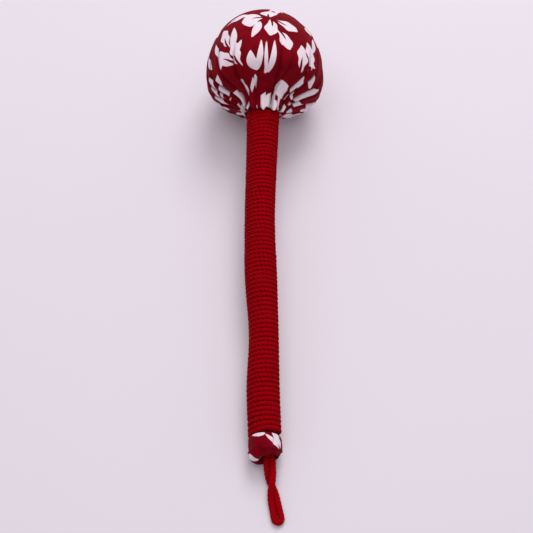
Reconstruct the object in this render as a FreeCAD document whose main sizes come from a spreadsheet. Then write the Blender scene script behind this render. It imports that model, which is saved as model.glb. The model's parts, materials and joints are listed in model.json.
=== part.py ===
import FreeCAD, Part
import math
import os

import Sketcher

# A soft massage hammer: a stuffed printed-cotton ball on a crooked cane handle that is wound with cord,
# with a cloth stub and a hanging loop at the foot. Every piece that lies along the stick is modelled in
# the stick's own frame (origin inside the ball, +Y out through the ball's front, distances measured
# down the stick towards the foot) and then tilted to the angle at which the hammer lies on a table.
# The row's frame: +Y towards the ball, +X to the right, +Z up, Z = 0 is the table.

os.makedirs("parts", exist_ok=True)
doc = FreeCAD.newDocument("massage_hammer")

# ---------------------------------------------------------------------------------------------- sizes
sizes = {
    # how the hammer lies
    "origin_y": 128.96,
    "origin_z": 42.1,
    "rest_angle": 6.304,
    # layers of the ball: the depth of each face below the cover's outside
    "cover_inside": 1.1,
    "bag_outside": 1.15,
    "bag_inside": 1.65,
    "filling_outside": 1.7,
    # play between pieces
    "fit_gap": 0.05,
    # the cone between ball and winding; a layer's depth is this much more when measured across the stick
    "cone_spread": 1.5,
    "neck_end_radius": 11.4,
    "filling_end": 38.0,
    "filling_end_side": -1.0,
    "filling_end_radius": 7.0,
    "tail_radius": 7.6,
    "bag_tail_radius": 5.6,
    "binding_radius": 8.3,
    # stick
    "stick_radius": 4.5,
    "stick_top": -12.0,
    "stick_foot": 287.5,
    # cord and the sleeves under it
    "cord_thickness": 3.05,
    "sleeve_thickness": 0.8,
    # stub at the foot
    "stub_start_radius": 9.7,
    "stub_bulge": 291.0,
    "stub_radius": 10.7,
    "stub_swell": 3.0,
    "stub_swell_rise": 0.2,
    "stub_swell_fall": 0.4,
    "stub_lip": 297.6,
    "stub_lip_radius": 8.0,
    "stub_lip_length": 1.2,
    "stub_lip_flare": 1.5,
    "stub_lip_roll": 0.4,
    "stub_wall": 0.9,
    "mouth_radius": 6.2,
    "mouth_side": 2.2,
    "mouth_drop": -1.5,
    "mouth_floor": 289.3,
    "knot_radius": 4.0,
    "knot_centre": 293.4,
    # loop
    "loop_cord_radius": 1.85,
    "loop_root_width": 2.0,
    "loop_pivot_y": -168.8,
    "loop_pivot_z": 6.3,
    # table block that cuts the two resting flats
    "block_width": 120.0,
    "block_length": 400.0,
    "block_depth": 20.0,
}

# Stations down the stick: distance from the ball's centre, sideways wander of the crooked cane, and the
# outer radius of the winding there.
stations = [
    (40.5, -1.2, 11.7),
    (58.0, -1.75, 11.45),
    (92.0, -2.8, 10.9),
    (125.0, -3.6, 10.55),
    (170.0, -2.8, 11.05),
    (215.0, -0.8, 10.0),
    (250.0, -1.2, 10.85),
    (284.5, 0.0, 10.8),
]
STATION_COUNT = len(stations)

# The ball's outline: an ellipse in front of its widest place and a squarer curve behind it.
BALL_RADIUS = 41.5
WIDEST_PLACE = 4.5
FRONT_LENGTH = 43.3
BACK_LENGTH = 24.95
BACK_SQUARENESS = 4.45
FRONT_STEPS = 12
BACK_STEPS = 8
BACK_END_ANGLE = math.radians(52.6)

# The cone from the ball to the winding: distance, sideways place, radius.
cone_rings = [
    (30.5, -0.2, 25.5),
    (34.5, -0.6, 17.9),
]


def ball_outline():
    """Points (distance, radius) from the ball's front to where the cone starts."""
    points = []
    for step in range(FRONT_STEPS):
        angle = math.pi / 2 * (1 - step / FRONT_STEPS)
        points.append((WIDEST_PLACE - FRONT_LENGTH * math.sin(angle), BALL_RADIUS * math.cos(angle)))
    power = 2 / BACK_SQUARENESS
    for step in range(BACK_STEPS + 1):
        angle = BACK_END_ANGLE * step / BACK_STEPS
        points.append((WIDEST_PLACE + BACK_LENGTH * math.sin(angle) ** power,
                       BALL_RADIUS * math.cos(angle) ** power))
    points[0] = (points[0][0], 0.0)
    return points


def outward(points, i):
    """The outline's outward direction at a point, as parts along and across the stick."""
    before = points[i - 1]
    after = points[i + 1]
    along = after[0] - before[0]
    across = after[1] - before[1]
    length = math.hypot(along, across)
    return -across / length, along / length


outline = ball_outline()
RING_COUNT = len(outline)
for i, (distance, radius) in enumerate(outline):
    if i == 0:
        lean, spread = -1.0, 0.0
    elif i == RING_COUNT - 1:
        lean, spread = 0.0, sizes["cone_spread"]
    else:
        lean, spread = outward(outline, i)
    sizes[f"ring_{i}"] = round(distance, 3)
    sizes[f"ring_radius_{i}"] = round(radius, 3)
    sizes[f"ring_lean_{i}"] = round(lean, 4)
    sizes[f"ring_spread_{i}"] = round(spread, 4)
for i, (distance, side, radius) in enumerate(cone_rings, start=1):
    sizes[f"cone_{i}"] = distance
    sizes[f"cone_side_{i}"] = side
    sizes[f"cone_radius_{i}"] = radius

sheet = doc.addObject("Spreadsheet::Sheet", "sheet")
for number, (distance, wander, winding_radius) in enumerate(stations, start=1):
    sizes[f"station_{number}"] = distance
    sizes[f"wander_{number}"] = wander
    sizes[f"winding_radius_{number}"] = winding_radius
for row, (alias, value) in enumerate(sizes.items(), start=1):
    sheet.set(f"A{row}", alias)
    sheet.set(f"B{row}", str(value))
    sheet.setAlias(f"B{row}", alias)
doc.recompute()


def on_sheet(expression):
    """Turns 'stick_radius + fit_gap' into an expression that reads those cells."""
    words = expression.split()
    return " ".join("sheet." + word if word[0].isalpha() else word for word in words)


def read(expression):
    """The value in mm of a sum of cells, numbers and products, such as 'stub_lip - stub_wall * 2'."""
    total = 0.0
    for term in expression.replace("- ", "+ -1 * ").split(" + "):
        product = 1.0
        for word in term.split(" * "):
            product *= sizes[word] if word in sizes else float(word)
        total += product
    return total


def origin_plane(body, role):
    return [feature for feature in body.Origin.OriginFeatures if feature.Role == role][0]


# ------------------------------------------------------------------------------------ building blocks
def stick_body(label):
    """A PartDesign body in the stick's frame, tilted to lie on the table."""
    body = doc.addObject("PartDesign::Body", label)
    body.Label = label
    body.Placement.Rotation = FreeCAD.Rotation(FreeCAD.Vector(1, 0, 0), 1.0)
    body.setExpression("Placement.Base.y", on_sheet("origin_y"))
    body.setExpression("Placement.Base.z", on_sheet("origin_z"))
    body.setExpression("Placement.Rotation.Angle", on_sheet("rest_angle"))
    return body


def cross_section(body, distance, side, radius, drop=None):
    """A circle across the stick, at a distance down it."""
    sketch = body.newObject("Sketcher::SketchObject", body.Label + "_section")
    sketch.AttachmentSupport = [(origin_plane(body, "XZ_Plane"), "")]
    sketch.MapMode = "FlatFace"
    sketch.addGeometry(Part.Circle(FreeCAD.Vector(0, 0, 0), FreeCAD.Vector(0, 0, 1), 5.0))
    sketch.addConstraint(Sketcher.Constraint("Coincident", 0, 3, -1, 1))
    sketch.addConstraint(Sketcher.Constraint("Radius", 0, 5.0))
    sketch.setExpression("Constraints[1]", on_sheet(radius))
    sketch.setExpression("AttachmentOffset.Base.z", on_sheet(distance))
    sketch.setExpression("AttachmentOffset.Base.x", on_sheet(side))
    if drop is not None:
        sketch.setExpression("AttachmentOffset.Base.y", on_sheet(drop))
    return sketch


def loft(body, sections, cut=False):
    """Straight-sided skin through circles, each given as (distance, side, radius)."""
    kind = "SubtractiveLoft" if cut else "AdditiveLoft"
    sketches = [cross_section(body, *section) for section in sections]
    feature = body.newObject("PartDesign::" + kind, body.Label + "_" + kind)
    feature.Profile = sketches[0]
    feature.Sections = sketches[1:]
    feature.Ruled = True
    body.Tip = feature
    doc.recompute()
    return feature


def along_stick(first, last, radius):
    """Sections at the stations first..last; radius may hold {n} for the station's number."""
    return [
        (f"station_{n}", f"wander_{n}", radius.format(n=n))
        for n in range(first, last + 1)
    ]


def ball(body, depth, end_sections, cut=False):
    """The ball and its cone, a layer's depth below the outside, then on through the end sections."""
    last = RING_COUNT - 1
    profile = [(f"ring_0 - {depth} * ring_lean_0", "0")]
    for i in range(1, RING_COUNT):
        down = f"ring_{i} - {depth} * ring_lean_{i}"
        profile.append((down, f"ring_radius_{i} - {depth} * ring_spread_{i}"))
    profile[last] = (f"ring_{last}", profile[last][1])
    turned_profile(body, profile + [(f"ring_{last}", "0")], cut)
    cone = [(f"ring_{last}", "0", profile[last][1])]
    for i in range(1, len(cone_rings) + 1):
        cone.append((f"cone_{i}", f"cone_side_{i}", f"cone_radius_{i} - {depth} * cone_spread"))
    loft(body, cone + end_sections, cut)


def round_pocket(body, floor, top, side, drop, radius):
    """A round hole from the top distance in to the floor distance."""
    sections = [(floor, side, radius, drop), (top, side, radius, drop)]
    return loft(body, sections, cut=True)


def turned_profile(body, points, cut=False):
    """Revolves a closed outline of (distance, radius) expressions about the stick's axis."""
    sketch = body.newObject("Sketcher::SketchObject", body.Label + "_outline")
    sketch.AttachmentSupport = [(origin_plane(body, "XY_Plane"), "")]
    sketch.MapMode = "FlatFace"
    corners = [
        FreeCAD.Vector(read(radius), -read(distance), 0) for distance, radius in points
    ]
    count = len(points)
    for i in range(count):
        sketch.addGeometry(Part.LineSegment(corners[i], corners[(i + 1) % count]))
    for i in range(count):
        sketch.addConstraint(Sketcher.Constraint("Coincident", i, 2, (i + 1) % count, 1))
    for i, (distance, radius) in enumerate(points):
        if read(radius) == 0:
            sketch.addConstraint(Sketcher.Constraint("PointOnObject", i, 1, -2))
        else:
            across = sketch.addConstraint(Sketcher.Constraint("DistanceX", -1, 1, i, 1, corners[i].x))
            sketch.setExpression(f"Constraints[{across}]", on_sheet(radius))
        down = sketch.addConstraint(Sketcher.Constraint("DistanceY", i, 1, -1, 1, -corners[i].y))
        sketch.setExpression(f"Constraints[{down}]", on_sheet(distance))
    kind = "Groove" if cut else "Revolution"
    feature = body.newObject("PartDesign::" + kind, body.Label + "_" + kind)
    feature.Profile = sketch
    feature.ReferenceAxis = (sketch, ["V_Axis"])
    feature.Angle = 360.0
    body.Tip = feature
    doc.recompute()
    return feature


def cut_at_table(label, body):
    """The piece with its lowest sliver pressed flat by the table."""
    piece = doc.addObject("Part::Cut", label)
    body.Label = label + "_uncut"
    piece.Label = label
    piece.Base = body
    piece.Tool = table_block
    return piece


# ---------------------------------------------------------------------------------------------- pieces
def make_table_block():
    block = doc.addObject("Part::Box", "table_block")
    block.setExpression("Width", on_sheet("block_length"))
    block.setExpression("Length", on_sheet("block_width"))
    block.setExpression("Height", on_sheet("block_depth"))
    block.setExpression("Placement.Base.x", "-sheet.block_width / 2")
    block.setExpression("Placement.Base.y", "-sheet.block_length / 2")
    block.setExpression("Placement.Base.z", "-sheet.block_depth")
    return block


def make_core_stick():
    """The bare cane: from inside the ball to inside the stub."""
    body = stick_body("core_stick")
    inside_ball = [("stick_top", "0", "stick_radius")]
    inside_stub = [("stick_foot", "0", "stick_radius")]
    loft(body, inside_ball + along_stick(1, STATION_COUNT, "stick_radius") + inside_stub)
    return body


def make_head_filling():
    """Stuffing that fills the bag down into the neck, bored for the stick."""
    body = stick_body("head_filling")
    ball(body, "filling_outside", [("filling_end", "filling_end_side", "filling_end_radius - fit_gap")])
    loft(body, [
        ("stick_top - fit_gap", "0", "stick_radius + fit_gap"),
        ("station_1", "wander_1", "stick_radius + fit_gap"),
    ], cut=True)
    return body


def make_filling_bag():
    """The plain inner bag, gathered onto the stick."""
    body = stick_body("filling_bag")
    ball(body, "bag_outside", along_stick(1, 2, "bag_tail_radius"))
    ball(body, "bag_inside", [("filling_end", "filling_end_side", "filling_end_radius")], cut=True)
    bore_for_stick(body)
    return body


def bore_for_stick(body):
    """A hole for the stick, from the middle of the ball to the second station."""
    loft(body, [
        ("stick_top", "0", "stick_radius + fit_gap"),
        ("station_1", "wander_1", "stick_radius + fit_gap"),
        ("station_2", "wander_2", "stick_radius + fit_gap"),
    ], cut=True)


def make_head_cover():
    """The printed cover: a round bag whose gathered tail goes down under the winding."""
    body = stick_body("head_cover_body")
    ball(body, "0", [("station_1", "wander_1", "neck_end_radius")])
    loft(body, along_stick(1, 2, "tail_radius"))
    ball(body, "cover_inside", along_stick(1, 2, "bag_tail_radius + fit_gap"), cut=True)
    return cut_at_table("head_cover", body)


def make_neck_binding():
    """Thread wound tight round the cover's gathered tail."""
    body = stick_body("neck_binding")
    loft(body, along_stick(1, 2, "binding_radius"))
    loft(body, along_stick(1, 2, "tail_radius + fit_gap"), cut=True)
    return body


def make_handle_wadding():
    """Soft packing round the cane, under the printed sleeve."""
    body = stick_body("handle_wadding")
    outside = "winding_radius_{n} - cord_thickness - sleeve_thickness - fit_gap - fit_gap"
    loft(body, along_stick(2, STATION_COUNT, outside))
    loft(body, along_stick(2, STATION_COUNT, "stick_radius + fit_gap"), cut=True)
    return body


def stub_profile(inset, start, end):
    """The stub's rounded outline between two distances, less an amount all round."""
    return [
        (start, "0"),
        (start, "stub_start_radius" + inset),
        ("stub_bulge - stub_swell", "stub_radius - stub_swell_rise" + inset),
        ("stub_bulge", "stub_radius" + inset),
        ("stub_bulge + stub_swell", "stub_radius - stub_swell_fall" + inset),
        (end + " - stub_lip_length", "stub_lip_radius + stub_lip_flare" + inset),
        (end, "stub_lip_radius + stub_lip_roll" + inset),
        (end, "0"),
    ]


def make_handle_cover():
    """The printed sleeve: hidden under the winding, then a rounded stub with an open mouth."""
    body = stick_body("handle_cover_body")
    last = STATION_COUNT
    outside = "winding_radius_{n} - cord_thickness - fit_gap"
    inside = outside + " - sleeve_thickness"
    end_of_sleeve = f"station_{last}"
    loft(body, along_stick(2, last, outside))
    turned_profile(body, stub_profile("", end_of_sleeve, "stub_lip"))
    loft(body, along_stick(2, last, inside), cut=True)
    hollow = stub_profile(" - stub_wall", end_of_sleeve + " + stub_wall", "stub_lip - stub_wall")
    neck = inside.format(n=last)
    step = [(end_of_sleeve, "0"), (end_of_sleeve, neck), (hollow[0][0], neck)]
    turned_profile(body, step + hollow[1:], cut=True)
    round_pocket(body, "stub_bulge", "stub_lip + stub_wall", "mouth_side", "mouth_drop", "mouth_radius")
    return cut_at_table("handle_cover", body)


def make_stub_filling():
    """Packing in the stub's first half, hollowed for the cane's end and for the loop's knot."""
    body = stick_body("stub_filling")
    start = f"station_{STATION_COUNT} + stub_wall + fit_gap"
    inset = " - stub_wall - fit_gap"
    turned_profile(body, stub_profile(inset, start, "stub_bulge")[:4] + [("stub_bulge", "0")])
    last = f"station_{STATION_COUNT}"
    round_pocket(body, last, "stick_foot + fit_gap", "0", "0", "stick_radius + fit_gap")
    round_pocket(body, "mouth_floor", "stub_lip", "mouth_side", "mouth_drop", "mouth_radius")
    return body


def make_cord_winding():
    """One layer of cord from the ball to the stub, as the sleeve it fills."""
    body = stick_body("cord_winding")
    loft(body, along_stick(1, STATION_COUNT, "winding_radius_{n}"))
    loft(body, along_stick(1, STATION_COUNT, "winding_radius_{n} - cord_thickness"), cut=True)
    return body


def make_loop_knot():
    """The knot that holds the loop's two ends inside the stub's mouth."""
    body = stick_body("loop_knot")
    knot = body.newObject("PartDesign::AdditiveSphere", "knot")
    knot.Angle1 = -90
    knot.Angle2 = 90
    knot.Angle3 = 360
    knot.setExpression("Radius", on_sheet("knot_radius"))
    knot.setExpression("Placement.Base.x", on_sheet("mouth_side"))
    knot.setExpression("Placement.Base.y", "-sheet.knot_centre")
    knot.setExpression("Placement.Base.z", on_sheet("mouth_drop"))
    body.Tip = knot
    doc.recompute()
    return body


# The loop's route from its left root round to its right root: across, out from the pivot, and height.
LOOP_ROUTE = [
    (0.5, 0.0, 6.3),
    (0.7, 3.4, 5.2),
    (1.5, 7.0, 3.2),
    (3.2, 10.2, 1.95),
    (5.0, 13.2, 1.95),
    (6.5, 16.8, 1.95),
    (7.4, 20.6, 1.95),
    (8.1, 24.9, 1.95),
    (8.9, 29.4, 1.95),
    (10.0, 34.5, 1.95),
    (7.5, 36.1, 1.95),
    (5.2, 34.7, 1.95),
    (4.5, 29.4, 1.95),
    (3.65, 24.9, 1.95),
    (3.35, 20.6, 2.5),
    (3.6, 16.8, 4.6),
    (4.4, 12.8, 6.1),
    (5.5, 8.4, 6.5),
    (5.9, 4.0, 6.4),
    (5.4, 0.0, 6.3),
]


def rounded_path(points):
    """Straight runs joined by tangent arcs, each as large as its two runs allow."""
    edges = []
    radii = []
    start = points[0]
    for before, corner, after in zip(points, points[1:], points[2:]):
        inward = (before - corner).normalize()
        outward = (after - corner).normalize()
        turn = math.pi - inward.getAngle(outward)
        set_back = 0.45 * min(corner.distanceToPoint(before), corner.distanceToPoint(after))
        radii.append(set_back / math.tan(turn / 2))
        first = corner + inward * set_back
        last = corner + outward * set_back
        middle = corner + (inward + outward).normalize() * radii[-1] * (1 / math.cos(turn / 2) - 1)
        edges.append(Part.LineSegment(start, first).toShape())
        edges.append(Part.Arc(first, middle, last).toShape())
        start = last
    edges.append(Part.LineSegment(start, points[-1]).toShape())
    return Part.Wire(edges), radii


def make_hanging_loop():
    """A tube along the route. Each end is rounded about the hinge's axis, which lies along X."""
    radius = read("loop_cord_radius")
    width = read("loop_root_width")
    pivot_y = read("loop_pivot_y")
    points = [FreeCAD.Vector(x, pivot_y - out, z) for x, out, z in LOOP_ROUTE]
    path, radii = rounded_path(points)
    ring = Part.Circle(points[0], points[1] - points[0], radius).toShape()
    tube = path.makePipeShell([Part.Wire(ring)], True, False)
    expected = math.pi * radius ** 2 * path.Length
    print("loop arc radii:", [round(r, 1) for r in radii])
    print("loop length:", round(path.Length, 1), "volume ratio:", round(tube.Volume / expected, 4))
    along = FreeCAD.Vector(1, 0, 0)
    roots = [
        Part.makeCylinder(radius, width, point - along * (width / 2), along)
        for point in (points[0], points[-1])
    ]
    loop = doc.addObject("Part::Feature", "hanging_loop")
    loop.Label = "hanging_loop"
    loop.Shape = tube.fuse(roots)
    loop.Placement = FreeCAD.Placement()
    return loop


table_block = make_table_block()
pieces = [
    make_core_stick(),
    make_head_filling(),
    make_filling_bag(),
    make_head_cover(),
    make_neck_binding(),
    make_handle_wadding(),
    make_handle_cover(),
    make_stub_filling(),
    make_cord_winding(),
    make_loop_knot(),
    make_hanging_loop(),
]
doc.recompute()

# ---------------------------------------------------------------------------------------------- output
failed = [item.Name for item in doc.Objects if "Invalid" in item.State or "Error" in item.State]
if failed:
    raise RuntimeError("failed objects: " + ", ".join(failed))
for piece in pieces:
    shape = piece.Shape
    if shape.isNull() or not shape.isValid() or len(shape.Solids) != 1:
        raise RuntimeError("bad shape: " + piece.Label)

whole = FreeCAD.BoundBox()
for piece in pieces:
    box = piece.Shape.optimalBoundingBox(False, False)
    corners = [round(value, 2) for value in (box.XMin, box.XMax, box.YMin, box.YMax, box.ZMin, box.ZMax)]
    print(piece.Label, "volume", round(piece.Shape.Volume), "box", corners)
    if piece.Label != "hanging_loop":
        whole.add(box)
    piece.Shape.exportStep(f"parts/{piece.Label}.step")
print("box centre without the loop:", round(whole.Center.x, 3), round(whole.Center.y, 3), "base", whole.ZMin)
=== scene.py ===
import json
import math

import bpy
import numpy as np
from mathutils import Matrix, Vector


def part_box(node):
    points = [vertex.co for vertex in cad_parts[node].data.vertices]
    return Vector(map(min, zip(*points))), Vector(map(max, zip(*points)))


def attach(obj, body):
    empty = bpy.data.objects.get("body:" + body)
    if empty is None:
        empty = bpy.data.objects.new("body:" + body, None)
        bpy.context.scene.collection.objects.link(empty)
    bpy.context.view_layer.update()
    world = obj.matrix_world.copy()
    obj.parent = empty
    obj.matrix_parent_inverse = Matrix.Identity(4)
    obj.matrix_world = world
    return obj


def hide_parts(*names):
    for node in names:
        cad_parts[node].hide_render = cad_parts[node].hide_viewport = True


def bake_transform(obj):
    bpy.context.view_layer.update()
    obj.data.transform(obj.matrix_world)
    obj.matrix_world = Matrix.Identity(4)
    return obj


# The looks of a soft massage hammer: a printed cotton ball, a handle wound with red cord, a cloth stub
# and a hanging loop. Lengths named *_MM and all shape arrays are in millimetres in the stick's frame:
# origin inside the ball, +Y out through the ball's front, so a distance down the stick is -Y.

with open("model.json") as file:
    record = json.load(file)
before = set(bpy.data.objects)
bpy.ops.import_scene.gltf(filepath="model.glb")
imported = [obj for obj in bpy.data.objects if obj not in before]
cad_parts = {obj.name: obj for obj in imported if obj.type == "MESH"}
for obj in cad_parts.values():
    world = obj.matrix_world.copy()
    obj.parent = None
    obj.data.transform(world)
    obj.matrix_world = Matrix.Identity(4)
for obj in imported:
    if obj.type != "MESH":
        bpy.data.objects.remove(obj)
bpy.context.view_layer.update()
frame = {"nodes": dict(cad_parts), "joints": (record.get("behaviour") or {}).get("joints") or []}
nodes = frame["nodes"]
scene = bpy.context.scene
MM = 0.001
TURN = 2 * math.pi


# ------------------------------------------------------------------------------- the stick's own frame
STICK_ORIGIN = np.array([0.0, 128.96, 42.1])
REST_ANGLE = math.radians(6.304)
TO_ROW = np.array(Matrix.Rotation(REST_ANGLE, 3, "X"))


def node_points(name):
    return np.array([v.co for v in nodes[name].data.vertices], float) / MM


def to_row(points):
    """From the stick's frame to the row's frame, both in mm."""
    return np.asarray(points, float) @ TO_ROW.T + STICK_ORIGIN


def to_stick(points):
    return (np.asarray(points, float) - STICK_ORIGIN) @ TO_ROW


def rings(name):
    """Distance down the stick, sideways place and outer radius at each of a sleeve's stations."""
    points = to_stick(node_points(name))
    down = np.round(-points[:, 1], 1)
    found = []
    for distance in np.unique(down):
        ring = points[down == distance]
        if len(ring) > 8:
            side = (ring[:, 0].max() + ring[:, 0].min()) / 2
            found.append((distance, side, (ring[:, 0].max() - ring[:, 0].min()) / 2))
    return np.array(found).T


def smooth_between(x, xs, ys):
    """Cubic through the stations, with no overshoot beyond the first and last."""
    slopes = np.gradient(ys, xs)
    x = np.clip(x, xs[0], xs[-1])
    k = np.clip(np.searchsorted(xs, x, side="right") - 1, 0, len(xs) - 2)
    gap = xs[k + 1] - xs[k]
    t = (x - xs[k]) / gap
    return ((1 + 2 * t) * (1 - t) ** 2 * ys[k] + t * (1 - t) ** 2 * gap * slopes[k]
            + t * t * (3 - 2 * t) * ys[k + 1] + t * t * (t - 1) * gap * slopes[k + 1])


STATIONS, WANDER, WINDING_RADIUS = rings("cord_winding")
WINDING_START, WINDING_END = STATIONS[0], STATIONS[-1]


def wander(distance):
    return smooth_between(distance, STATIONS, WANDER)


def winding_radius(distance):
    return smooth_between(distance, STATIONS, WINDING_RADIUS)


def ease(x, low, high):
    t = np.clip((x - low) / (high - low), 0, 1)
    return t * t * (3 - 2 * t)


# ------------------------------------------------------------------------------------------ mesh tools
def grid_faces(rows, columns):
    """Quads of a grid whose columns close into a ring."""
    i, j = np.meshgrid(np.arange(rows - 1), np.arange(columns), indexing="ij")
    right = (j + 1) % columns
    quads = np.stack([i * columns + j, i * columns + right,
                      (i + 1) * columns + right, (i + 1) * columns + j], axis=-1)
    return quads.reshape(-1, 4)


def new_object(name, points_mm, quads, triangles=(), flip=False):
    """A smooth-shaded mesh from points in the row's frame, in mm."""
    quads = np.asarray(quads, np.int64).reshape(-1, 4)
    triangles = np.asarray(triangles, np.int64).reshape(-1, 3)
    if flip:
        quads = quads[:, ::-1]
        triangles = triangles[:, ::-1]
    mesh = bpy.data.meshes.new(name)
    mesh.vertices.add(len(points_mm))
    mesh.vertices.foreach_set("co", (np.asarray(points_mm) * MM).ravel())
    corners = np.concatenate([quads.ravel(), triangles.ravel()])
    mesh.loops.add(len(corners))
    mesh.loops.foreach_set("vertex_index", corners)
    starts = np.concatenate([np.arange(len(quads)) * 4,
                             len(quads) * 4 + np.arange(len(triangles)) * 3])
    mesh.polygons.add(len(starts))
    mesh.polygons.foreach_set("loop_start", starts)
    mesh.update(calc_edges=True)
    mesh.validate()
    mesh.shade_smooth()
    obj = bpy.data.objects.new(name, mesh)
    scene.collection.objects.link(obj)
    return obj


def point_attribute(obj, name, values):
    """A float, or a vector, per vertex."""
    values = np.asarray(values, np.float32)
    if values.ndim == 1:
        obj.data.attributes.new(name, "FLOAT", "POINT").data.foreach_set("value", values)
    else:
        obj.data.attributes.new(name, "FLOAT_VECTOR", "POINT").data.foreach_set("vector", values.ravel())


def corner_attribute(obj, name, vectors):
    layer = obj.data.attributes.new(name, "FLOAT_VECTOR", "CORNER")
    layer.data.foreach_set("vector", np.asarray(vectors, np.float32).ravel())


def surface_normals(grid):
    """Normals of a grid of points whose columns close into a ring."""
    across = np.roll(grid, -1, axis=1) - np.roll(grid, 1, axis=1)
    along = np.gradient(grid, axis=0)
    normal = np.cross(across, along)
    return normal / np.maximum(np.linalg.norm(normal, axis=-1, keepdims=True), 1e-9)


# ------------------------------------------------------------------------------------------- materials
class Nodes:
    """Short ways to build a node material."""

    def __init__(self, name):
        self.material = bpy.data.materials.new(name)
        self.material.use_nodes = True
        self.tree = self.material.node_tree
        self.shader = self.tree.nodes["Principled BSDF"]

    def add(self, kind, **values):
        node = self.tree.nodes.new(kind)
        for key, value in values.items():
            setattr(node, key, value)
        return node

    def link(self, output, target):
        self.tree.links.new(output, target)

    def fill(self, socket, value):
        if isinstance(value, bpy.types.NodeSocket):
            self.link(value, socket)
        else:
            socket.default_value = value

    def math(self, operation, a, b=0.0, c=0.0):
        node = self.add("ShaderNodeMath", operation=operation)
        for socket, value in zip(node.inputs, (a, b, c)):
            self.fill(socket, value)
        return node.outputs[0]

    def attribute(self, name, output="Fac"):
        return self.add("ShaderNodeAttribute", attribute_name=name).outputs[output]

    def parts(self, vector):
        node = self.add("ShaderNodeSeparateXYZ")
        self.link(vector, node.inputs[0])
        return node.outputs

    def noise(self, scale, detail=2.0, roughness=0.5, vector=None):
        node = self.add("ShaderNodeTexNoise")
        node.inputs["Scale"].default_value = scale
        node.inputs["Detail"].default_value = detail
        node.inputs["Roughness"].default_value = roughness
        self.link(vector or self.add("ShaderNodeTexCoord").outputs["Object"], node.inputs["Vector"])
        return node.outputs[0]

    def spread(self, value, low, high, to_low, to_high, smooth=False):
        node = self.add("ShaderNodeMapRange", interpolation_type="SMOOTHSTEP" if smooth else "LINEAR")
        for socket, number in zip(node.inputs[1:5], (low, high, to_low, to_high)):
            socket.default_value = number
        self.link(value, node.inputs[0])
        return node.outputs[0]

    def mix(self, factor, a, b, blend="MIX"):
        node = self.add("ShaderNodeMix", data_type="RGBA", blend_type=blend)
        self.fill(node.inputs[0], factor)
        self.fill(node.inputs[6], a)
        self.fill(node.inputs[7], b)
        return node.outputs[2]

    def bump(self, height, strength, distance):
        node = self.add("ShaderNodeBump")
        node.inputs["Strength"].default_value = strength
        node.inputs["Distance"].default_value = distance
        self.link(height, node.inputs["Height"])
        return node.outputs[0]

    def finish(self, color, roughness, normal=None, sheen=0.0, sheen_roughness=0.5, specular=0.5):
        self.fill(self.shader.inputs["Base Color"], color)
        self.fill(self.shader.inputs["Roughness"], roughness)
        self.fill(self.shader.inputs["Specular Tint"], color)
        self.fill(self.shader.inputs["Sheen Tint"], color)
        self.shader.inputs["Sheen Weight"].default_value = sheen
        self.shader.inputs["Sheen Roughness"].default_value = sheen_roughness
        self.shader.inputs["Specular IOR Level"].default_value = specular
        if normal is not None:
            self.link(normal, self.shader.inputs["Normal"])
        return self.material


CRIMSON = (0.235, 0.0022, 0.009, 1)
CRIMSON_DEEP = (0.155, 0.0012, 0.006, 1)
# colour of the painted shade in the creases of the ball's folds
CREASE_SHADE = (0.06, 0.001, 0.004, 1)
WHITE_INK = (0.89, 0.76, 0.83, 1)
GREY_INK = (0.74, 0.58, 0.64, 1)
CORD_RED = (0.46, 0.0012, 0.006, 1)
CORD_DEEP = (0.21, 0.0006, 0.003, 1)
CORD_PATCH = (0.30, 0.0008, 0.004, 1)
# colour of the painted shade in the valleys between the cord's strands
CORD_GROOVE_SHADE = (0.05, 0.0003, 0.0012, 1)
THREAD_MM = 0.36
LINING_THREAD_MM = 0.5
BINDING_THREAD_MM = 0.6


def printed_cotton():
    """Plain-weave cotton, white figures printed on crimson. 'print' is the distance in mm to a figure's
    edge, below zero inside it; 'cloth' is the place on the flat cloth in mm; 'crease' is how far down a
    fold the place is, from 0 to 1, and sets the painted shade that darkens the folds."""
    n = Nodes("printed_cotton")
    x, y, _ = n.parts(n.attribute("cloth", "Vector"))
    warp = n.math("SINE", n.math("MULTIPLY", x, TURN / THREAD_MM))
    weft = n.math("SINE", n.math("MULTIPLY", y, TURN / THREAD_MM))
    weave = n.math("MULTIPLY", warp, weft)
    bleed = n.math("MULTIPLY", n.math("SUBTRACT", n.noise(2500, 1.0), 0.5), 0.22)
    edge = n.math("ADD", n.math("ADD", n.attribute("print"), bleed), n.math("MULTIPLY", weave, 0.03))
    mask = n.spread(edge, -0.13, 0.13, 1.0, 0.0, smooth=True)
    mottle = n.spread(n.noise(160, 3.0), 0.3, 0.7, 0.0, 1.0)
    ground = n.mix(mottle, CRIMSON_DEEP, CRIMSON)
    ink = n.mix(n.spread(n.noise(420, 3.0), 0.35, 0.75, 0.0, 0.35), WHITE_INK, GREY_INK)
    color = n.mix(mask, ground, ink)
    # painted shade: the cloth is darkened where the weave sits low, between the threads
    weave_shade = n.spread(weave, -1.0, 1.0, 0.88, 1.0)
    shade = n.add("ShaderNodeCombineColor")
    for socket in shade.inputs[:3]:
        n.link(weave_shade, socket)
    color = n.mix(1.0, color, shade.outputs[0], "MULTIPLY")
    # painted shade: the cloth is darkened down the long folds, where shade falls
    painted_crease_shade = n.math("MULTIPLY", n.attribute("crease"), 0.95)
    color = n.mix(painted_crease_shade, color, CREASE_SHADE)
    fuzz = n.math("MULTIPLY_ADD", n.noise(3000, 2.0), 0.5, weave)
    normal = n.bump(fuzz, 0.35, 0.00008)
    roughness = n.spread(mottle, 0.0, 1.0, 0.72, 0.84)
    return n.finish(color, roughness, normal, sheen=0.1, sheen_roughness=0.4, specular=0.15)


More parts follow.
